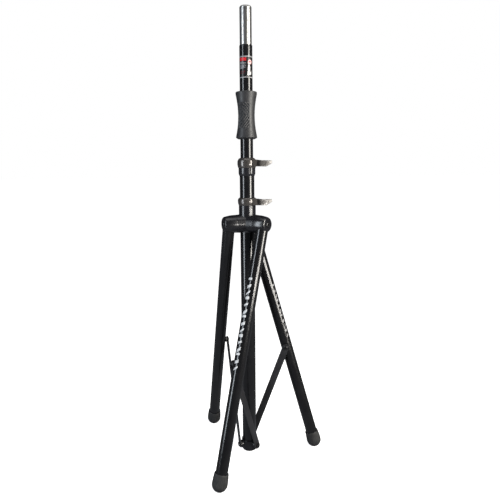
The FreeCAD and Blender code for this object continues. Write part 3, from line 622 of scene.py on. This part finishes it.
def make_marks(side, middle, width, start, stop, count, ink):
    """A row of plain slanted bars down a leg, between two distances from its pivot. The middle
    and the half width are degrees about the leg."""
    place = LEG_FRAMES[side]
    radius = local_box(f"leg_tube_{side}", place)[1].x
    pitch = (stop - start) / count
    bars = []
    for number in range(count):
        top = -(start + pitch * number)
        slant = pitch * (0.10 + 0.25 * (number % 3))
        thick = pitch * (0.34 + 0.14 * (number % 2))
        bars.append(film([(middle - width, top - slant), (middle + width, top),
                          (middle + width, top - thick), (middle - width, top - slant - thick)],
                         radius, INK))
    piece(f"leg_{side}_marks", merged(bars), f"leg_{side}", INKS[ink], place=place)


def make_foot(side):
    """A rubber boot with shallow flutes down its side and a rounded sole."""
    place = LEG_FRAMES[side]
    low, high = local_box(f"foot_{side}", place)
    tube_low, tube_high = local_box(f"leg_tube_{side}", place)
    bore = tube_high.x
    end = high.x
    sole = low.z
    rim = high.z - FOOT_RIM_DROP
    belt = sole + end
    neck = bore + 3.1 * MM
    neck_top = rim - 1.2 * MM
    flutes = 24
    flute_depth = 0.9 * MM

    def dent(angle, radius, height):
        if radius < bore + 1.2 * MM:
            return 0
        share = (height - sole) / (rim - sole)
        fade = max(0, min(1, (share - 0.28) * 7)) * max(0, min(1, (0.93 - share) * 12))
        return flute_depth * fade * (0.5 - 0.5 * math.cos(flutes * angle)) ** 2

    section = [(0, tube_low.z), (bore, tube_low.z), (bore, rim - 0.6 * MM), (bore + 0.6 * MM, rim),
               (bore + 2.2 * MM, rim), (bore + 3.0 * MM, rim - 0.7 * MM)]
    side_steps = 14
    for step in range(1, side_steps + 1):
        share = step / side_steps
        section.append((neck + (end - neck) * math.sin(share * math.pi / 2),
                        neck_top + (belt - neck_top) * share))
    sole_steps = 16
    for step in range(1, sole_steps):
        angle = math.pi / 2 * step / sole_steps
        section.append((end * math.cos(angle), belt - end * math.sin(angle)))
    section.append((0, sole))
    piece(f"foot_{side}_boot", lathe(section, 180, dent), f"leg_{side}", FINISHES["foot_rubber"],
          [f"foot_{side}"], place, sharp=50)


def stadium(width, low, high, front, back, bevel):
    """A flat bar along Z with round ends and softened edges."""
    build = bmesh.new()
    half = width / 2
    steps = 24
    outline = []
    for centre, start in ((high - half, 0), (low + half, math.pi)):
        for step in range(steps + 1):
            angle = math.pi * step / steps + start
            outline.append((half * math.cos(angle), centre + half * math.sin(angle)))
    face = build.faces.new([build.verts.new((front, y, z)) for y, z in outline])
    grown = bmesh.ops.extrude_face_region(build, geom=[face])
    moved = [item for item in grown["geom"] if isinstance(item, bmesh.types.BMVert)]
    bmesh.ops.translate(build, verts=moved, vec=(back - front, 0, 0))
    bmesh.ops.recalc_face_normals(build, faces=build.faces)
    steep = 1.2         # radians between two faces, less than the bar's own right angles
    rims = [edge for edge in build.edges if edge.calc_face_angle(0) > steep]
    bmesh.ops.bevel(build, geom=rims, offset=bevel, segments=3, affect="EDGES", profile=0.5)
    return build


def button_bolt(shank, head, low, seat, top):
    """A bolt along Z with a domed head and a hexagon socket. The first two are radii."""
    rise = top - seat
    socket = 0.36 * head
    depth = 0.55 * rise
    dome = [(0.97 * head, seat + 0.45 * rise), (0.88 * head, seat + 0.72 * rise),
            (0.70 * head, seat + 0.92 * rise), (0.50 * head, top)]

    def dent(angle, radius, height):
        if radius > 1.01 * socket or height < seat:
            return 0
        turn = (angle + math.pi / 6) % (math.pi / 3) - math.pi / 6
        return radius - 0.87 * radius / math.cos(turn)

    section = [(0, low), (shank - 0.5 * MM, low), (shank, low + 0.5 * MM), (shank, seat),
               (head - 0.3 * MM, seat), (head, seat + 0.3 * MM)] + dome
    section += [(socket, top), (socket, top - depth), (0, top - depth)]
    return lathe(section, 48, dent)


# A bolt's head faces away from the mast, or towards it.
OUTWARD = Matrix(((0, 0, 1, 0), (1, 0, 0, 0), (0, 1, 0, 0), (0, 0, 0, 1)))
INWARD = Matrix(((0, 0, -1, 0), (1, 0, 0, 0), (0, -1, 0, 0), (0, 0, 0, 1)))


def make_pivot_bolts():
    """The legs' bolts, one in each arm of the hub, and the struts' upper bolts."""
    bolt_in_hub = 14.4 * MM
    head_sunk = 2.6 * MM
    head_proud = 2.5 * MM
    strut_head = 3.4 * MM
    builds = []
    for side in SIDES:
        low, high = local_box(f"knuckle_{side}", LEG_FRAMES[side])
        build = button_bolt(6 * MM, 9 * MM, low.x - bolt_in_hub, high.x - head_sunk,
                            high.x + head_proud)
        build.transform(LEG_FRAMES[side] @ OUTWARD)
        builds.append(build)
        place = STRUT_FRAMES[side]
        low, high = local_box(f"strut_bolt_{side}", place)
        build = button_bolt(4 * MM, 7 * MM, -high.x, -low.x - strut_head, -low.x)
        eye = Matrix.Translation((0, 0, (low.z + high.z) / 2))
        piece(f"strut_{side}_bolt", build, f"strut_{side}", FINISHES["black_steel"],
              [f"strut_bolt_{side}"], place @ eye @ INWARD)
    piece("pivot_bolts", merged(builds), "hub", FINISHES["black_steel"],
          ["leg_pivot_bolts"])


def make_strut(side):
    """A flat strut bar with softened edges."""
    place = STRUT_FRAMES[side]
    low, high = local_box(f"strut_{side}", place)
    piece(f"strut_{side}_bar", stadium(high.y - low.y, low.z, high.z, low.x, high.x, 0.5 * MM),
          f"strut_{side}", FINISHES["strut_steel"], [f"strut_{side}"], place)


def make_all():
    """Every new piece of the stand."""
    make_mast()
    make_sleeve()
    make_inner_tube()
    make_label()
    make_grip()
    for side in SIDES:
        make_leg(side)
        make_foot(side)
        make_strut(side)
    make_pivot_bolts()
    make_marks("front", -88, 20, 163 * MM, 443 * MM, 15, "white")
    make_marks("right", -127, 12, 215 * MM, 405 * MM, 11, "silver")
    make_marks("left", -88, 20, 163 * MM, 443 * MM, 15, "white")


# ---------------------------------------------------------------- studio

def make_camera():
    """The viewing angle: waist height, 1.4 m in front, looking slightly down."""
    data = bpy.data.cameras.new("camera")
    data.sensor_width = 36
    data.lens = 33.65
    data.shift_x = 0.0046
    data.shift_y = -0.0010
    camera = bpy.data.objects.new("camera", data)
    bpy.context.scene.collection.objects.link(camera)
    stand = (0, -1.439, 0.929)
    pitch = math.radians(90 - 9.613)
    roll = math.radians(-0.548)
    camera.matrix_world = (Matrix.Translation(stand)
                           @ Matrix.Rotation(pitch, 4, "X") @ Matrix.Rotation(roll, 4, "Z"))
    bpy.context.scene.camera = camera


def area_light(name, place, aim, size, power, colour):
    data = bpy.data.lights.new(name, "AREA")
    data.shape = "RECTANGLE"
    data.size, data.size_y = size
    data.energy = power
    data.color = colour
    light = bpy.data.objects.new(name, data)
    bpy.context.scene.collection.objects.link(light)
    light.location = place
    direction = Vector(aim) - Vector(place)
    light.rotation_euler = direction.to_track_quat("-Z", "Y").to_euler()
    light.visible_camera = False


def make_floor():
    """A wide pale sheet just under the soles. It glows evenly and does not light the stand."""
    half_width = 60
    mesh = bpy.data.meshes.new("floor")
    build = bmesh.new()
    bmesh.ops.create_grid(build, x_segments=8, y_segments=8, size=half_width)
    build.to_mesh(mesh)
    build.free()
    floor = bpy.data.objects.new("floor", mesh)
    bpy.context.scene.collection.objects.link(floor)
    floor.location.z = -0.2 * MM
    floor.visible_glossy = False
    floor.visible_diffuse = False
    paper = Surface("pale floor", specular=0.1)
    paper.clouded(paper.ranged(paper.noise(3), 0, 1), (0.90, 0.90, 0.90), (0.92, 0.92, 0.92))
    paper.shader.inputs["Roughness"].default_value = 0.9
    paper.shader.inputs["Emission Color"].default_value = (1, 1, 1, 1)
    paper.shader.inputs["Emission Strength"].default_value = 0.985
    mesh.materials.append(paper.material)


def make_world():
    """White to the camera. In reflections it is a dim room that gets paler towards its floor."""
    world = bpy.data.worlds.new("studio")
    bpy.context.scene.world = world
    world.use_nodes = True
    tree = world.node_tree
    white = tree.nodes["Background"]
    white.inputs["Color"].default_value = (1, 1, 1, 1)
    white.inputs["Strength"].default_value = 1.0
    place = tree.nodes.new("ShaderNodeTexCoord")
    split = tree.nodes.new("ShaderNodeSeparateXYZ")
    tree.links.new(place.outputs["Generated"], split.inputs[0])
    ramp = tree.nodes.new("ShaderNodeMapRange")
    for key, value in (("From Min", -0.8), ("From Max", 0.0), ("To Min", 0.28), ("To Max", 0.045)):
        ramp.inputs[key].default_value = value
    tree.links.new(split.outputs["Z"], ramp.inputs["Value"])
    room = tree.nodes.new("ShaderNodeBackground")
    room.inputs["Color"].default_value = (0.82, 0.85, 0.92, 1)
    tree.links.new(ramp.outputs["Result"], room.inputs["Strength"])
    rays = tree.nodes.new("ShaderNodeLightPath")
    choose = tree.nodes.new("ShaderNodeMixShader")
    tree.links.new(rays.outputs["Is Camera Ray"], choose.inputs["Fac"])
    tree.links.new(room.outputs[0], choose.inputs[1])
    tree.links.new(white.outputs[0], choose.inputs[2])
    tree.links.new(choose.outputs[0], tree.nodes["World Output"].inputs["Surface"])


def make_studio():
    """Floor, world and lights. Every lamp is hidden from the camera."""
    make_floor()
    make_world()
    area_light("left strip", (-1.75, -1.05, 1.14), (0, 0, 1.14), (0.40, 2.3), 32, (0.86, 0.93, 1.0))
    area_light("right strip", (1.70, -1.05, 1.33), (0, 0, 1.33), (0.62, 1.9), 72, (1.0, 0.97, 0.90))
    area_light("low lamp", (1.05, -1.34, 0.65), (0, 0, 0.78), (0.26, 0.12), 6, (1.0, 0.97, 0.93))
    area_light("overhead", (0, -0.4, 2.6), (0, 0, 0.6), (1.6, 1.2), 8, (1, 1, 1))
    view = bpy.context.scene.view_settings
    view.view_transform = "Standard"
    view.look = "None"


finish_nodes()
make_all()
make_camera()
make_studio()
